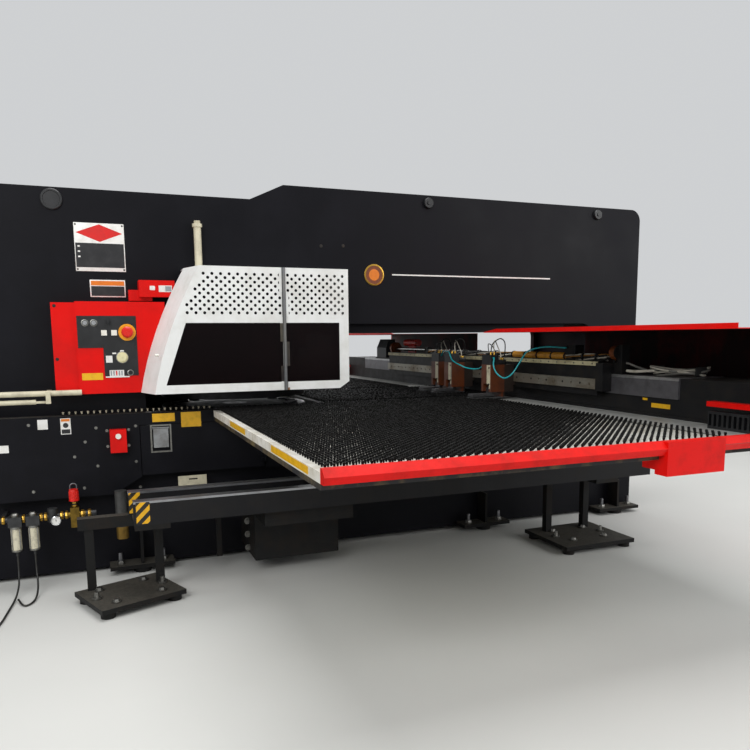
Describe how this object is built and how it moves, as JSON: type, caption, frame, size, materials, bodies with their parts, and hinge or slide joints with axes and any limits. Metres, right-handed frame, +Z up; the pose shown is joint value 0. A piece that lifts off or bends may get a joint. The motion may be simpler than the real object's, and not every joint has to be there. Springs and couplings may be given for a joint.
{
  "type": "cnc turret punch press",
  "caption": "Bridge-frame turret punch press with travelling brush tables, sheet clamps on a cross carriage, a hinged turret guard and a red operator panel.",
  "frame": {"origin": "centre of the bounding box on the floor, under the bridge frame's middle", "axes": "+X along the bridge from the turret end to the open end, +Y from the operator side to the rear, +Z up"},
  "size_m": [5, 5.35, 2.265],
  "materials": {
    "black_paint": "semi-gloss near-black paint, dusty and lightly scuffed",
    "red_paint": "satin red paint",
    "grey_paint": "light grey textured paint",
    "cream_paint": "cream paint",
    "brown_paint": "worn brown paint",
    "machined_steel": "ground and oiled steel",
    "dark_steel": "oil-darkened steel",
    "turret_iron": "machined cast iron",
    "bristle": "black nylon bristles",
    "black_plastic": "black moulded plastic",
    "white_plastic": "white moulded plastic",
    "yellow_plastic": "yellow moulded plastic",
    "red_plastic": "red moulded plastic",
    "cream_plastic": "cream moulded plastic",
    "smoked_window": "dark smoked acrylic",
    "air_alloy": "die-cast air fittings with clear bowls",
    "hose_black": "black air hose",
    "hose_mixed": "orange cable bundle and teal and white air lines",
    "key_steel": "plated lock barrel and key"
  },
  "bodies": {
    "frame": {"bridge_frame": "black_paint", "levelling_feet": "dark_steel", "turret_shafts": "machined_steel", "ram_housing": "dark_steel", "centre_table": "dark_steel", "centre_brushes": "bristle", "guide_beams": "black_paint", "beam_stands": "black_paint", "screw_bearings": "dark_steel", "lower_covers": "black_paint", "switch_box": "red_paint", "operator_panel": "red_paint", "panel_plate": "black_plastic", "estop_collar": "yellow_plastic", "indicator_box": "red_paint", "vent_pole": "cream_paint", "turret_guard": "grey_paint", "fixed_window": "smoked_window", "rear_guard": "grey_paint", "air_unit": "air_alloy", "drain_hose_left": "hose_black", "drain_hose_right": "hose_black", "left_pipes": "cream_paint"},
    "carriage": {"carriage_base": "black_paint", "front_hood": "red_paint", "rear_hood": "red_paint", "front_table": "black_paint", "rear_table": "black_paint", "front_brushes": "bristle", "rear_brushes": "bristle", "front_bumper": "red_paint", "rear_bumper": "red_paint", "cable_chain": "black_plastic"},
    "rollers": {"table_rollers": "machined_steel"},
    "screw": {"drive_screw": "machined_steel"},
    "cross_slide": {"cross_carriage": "black_paint", "clamp_rails": "machined_steel", "carriage_hoses": "hose_mixed"},
    "clamp_1": {"clamp_body_1": "brown_paint"},
    "clamp_2": {"clamp_body_2": "brown_paint"},
    "clamp_3": {"clamp_body_3": "brown_paint"},
    "jaw_1": {"clamp_jaw_1": "dark_steel"},
    "jaw_2": {"clamp_jaw_2": "dark_steel"},
    "jaw_3": {"clamp_jaw_3": "dark_steel"},
    "upper_disc": {"upper_turret": "turret_iron"},
    "lower_disc": {"lower_turret": "turret_iron"},
    "striker": {"ram": "machined_steel"},
    "guard_leaf": {"guard_door": "grey_paint", "door_window": "smoked_window"},
    "cover_door": {"service_door": "black_paint"},
    "paddle": {"paddle_handle": "machined_steel"},
    "estop": {"estop_button": "red_plastic"},
    "left_push": {"push_button_left": "white_plastic"},
    "right_push": {"push_button_right": "white_plastic"},
    "left_key": {"key_switch_left": "key_steel"},
    "right_key": {"key_switch_right": "key_steel"},
    "selector": {"selector_switch": "black_plastic"},
    "knob": {"override_knob": "cream_plastic"},
    "side_button": {"switch_button": "white_plastic"},
    "valve": {"lockout_valve": "red_plastic"}
  },
  "joints": [
    {"name": "upper_turret_turns", "type": "hinge", "parent": "frame", "child": "upper_disc", "pos_m": [-0.49, 0, 1.05], "axis": [0, 0, 1], "continuous": true},
    {"name": "lower_turret_turns", "type": "hinge", "parent": "frame", "child": "lower_disc", "pos_m": [-0.49, 0, 0.89], "axis": [0, 0, 1], "continuous": true},
    {"name": "striker_slides", "type": "slide", "parent": "frame", "child": "striker", "axis": [0, 0, 1], "range_m": [-0.044, 0]},
    {"name": "carriage_slides", "type": "slide", "parent": "frame", "child": "carriage", "axis": [1, 0, 0], "range_m": [-0.94, 0.33]},
    {"name": "rollers_turn", "type": "hinge", "parent": "carriage", "child": "rollers", "pos_m": [1.1, 0, 0.6053], "axis": [0, 1, 0], "continuous": true},
    {"name": "screw_turns", "type": "hinge", "parent": "frame", "child": "screw", "pos_m": [0.855, -0.52, 0.7], "axis": [1, 0, 0], "continuous": true},
    {"name": "cross_slides", "type": "slide", "parent": "carriage", "child": "cross_slide", "axis": [0, 1, 0], "range_m": [-0.83, 0.79]},
    {"name": "clamp_1_slides", "type": "slide", "parent": "cross_slide", "child": "clamp_1", "axis": [0, 1, 0], "range_m": [-0.74, 0.19], "deforming": ["carriage_hoses"]},
    {"name": "clamp_2_slides", "type": "slide", "parent": "cross_slide", "child": "clamp_2", "axis": [0, 1, 0], "range_m": [-0.19, 0.04], "deforming": ["carriage_hoses"]},
    {"name": "clamp_3_slides", "type": "slide", "parent": "cross_slide", "child": "clamp_3", "axis": [0, 1, 0], "range_m": [-0.03, 1.22], "deforming": ["carriage_hoses"]},
    {"name": "jaw_1_opens", "type": "hinge", "parent": "clamp_1", "child": "jaw_1", "pos_m": [1.06, -0.705, 1], "axis": [0, 1, 0], "range_deg": [0, 8]},
    {"name": "jaw_2_opens", "type": "hinge", "parent": "clamp_2", "child": "jaw_2", "pos_m": [1.06, -0.17, 1], "axis": [0, 1, 0], "range_deg": [0, 8]},
    {"name": "jaw_3_opens", "type": "hinge", "parent": "clamp_3", "child": "jaw_3", "pos_m": [1.06, 0.04, 1], "axis": [0, 1, 0], "range_deg": [0, 8]},
    {"name": "guard_leaf_opens", "type": "hinge", "parent": "frame", "child": "guard_leaf", "pos_m": [-0.32, -0.728, 1.4], "axis": [0, 0, 1], "range_deg": [0, 90]},
    {"name": "cover_door_opens", "type": "hinge", "parent": "frame", "child": "cover_door", "pos_m": [-0.4, -0.488, 0.72], "axis": [0, 0, 1], "range_deg": [0, 100]},
    {"name": "paddle_lifts", "type": "hinge", "parent": "cover_door", "child": "paddle", "pos_m": [-1.011, -0.471, 0.838], "axis": [-1, 0, 0], "range_deg": [0, 40]},
    {"name": "estop_presses", "type": "slide", "parent": "frame", "child": "estop", "axis": [0, 1, 0], "range_m": [0, 0.006], "stiffness_N_per_m": 900},
    {"name": "left_push_presses", "type": "slide", "parent": "frame", "child": "left_push", "axis": [0, 1, 0], "range_m": [0, 0.004], "stiffness_N_per_m": 500},
    {"name": "right_push_presses", "type": "slide", "parent": "frame", "child": "right_push", "axis": [0, 1, 0], "range_m": [0, 0.004], "stiffness_N_per_m": 500},
    {"name": "left_key_turns", "type": "hinge", "parent": "frame", "child": "left_key", "pos_m": [-1.383, -0.525, 1.44], "axis": [0, 1, 0], "range_deg": [0, 90]},
    {"name": "right_key_turns", "type": "hinge", "parent": "frame", "child": "right_key", "pos_m": [-1.338, -0.525, 1.44], "axis": [0, 1, 0], "range_deg": [0, 90]},
    {"name": "selector_turns", "type": "hinge", "parent": "frame", "child": "selector", "pos_m": [-1.264, -0.525, 1.448], "axis": [0, 1, 0], "range_deg": [-45, 45]},
    {"name": "knob_turns", "type": "hinge", "parent": "frame", "child": "knob", "pos_m": [-1.2, -0.525, 1.25], "axis": [0, 1, 0], "range_deg": [0, 270]},
    {"name": "side_button_presses", "type": "slide", "parent": "frame", "child": "side_button", "axis": [0, 1, 0], "range_m": [0, 0.004], "stiffness_N_per_m": 500},
    {"name": "valve_turns", "type": "hinge", "parent": "frame", "child": "valve", "pos_m": [-1.494, -0.59, 0.5], "axis": [0, 0, 1], "range_deg": [0, 90]}
  ],
  "couplings": [
    {"joint": "lower_turret_turns", "follows": "upper_turret_turns", "ratio": 1},
    {"joint": "rollers_turn", "follows": "carriage_slides", "rad_per_m": 22.222},
    {"joint": "screw_turns", "follows": "carriage_slides", "rad_per_m": 157.08}
  ]
}
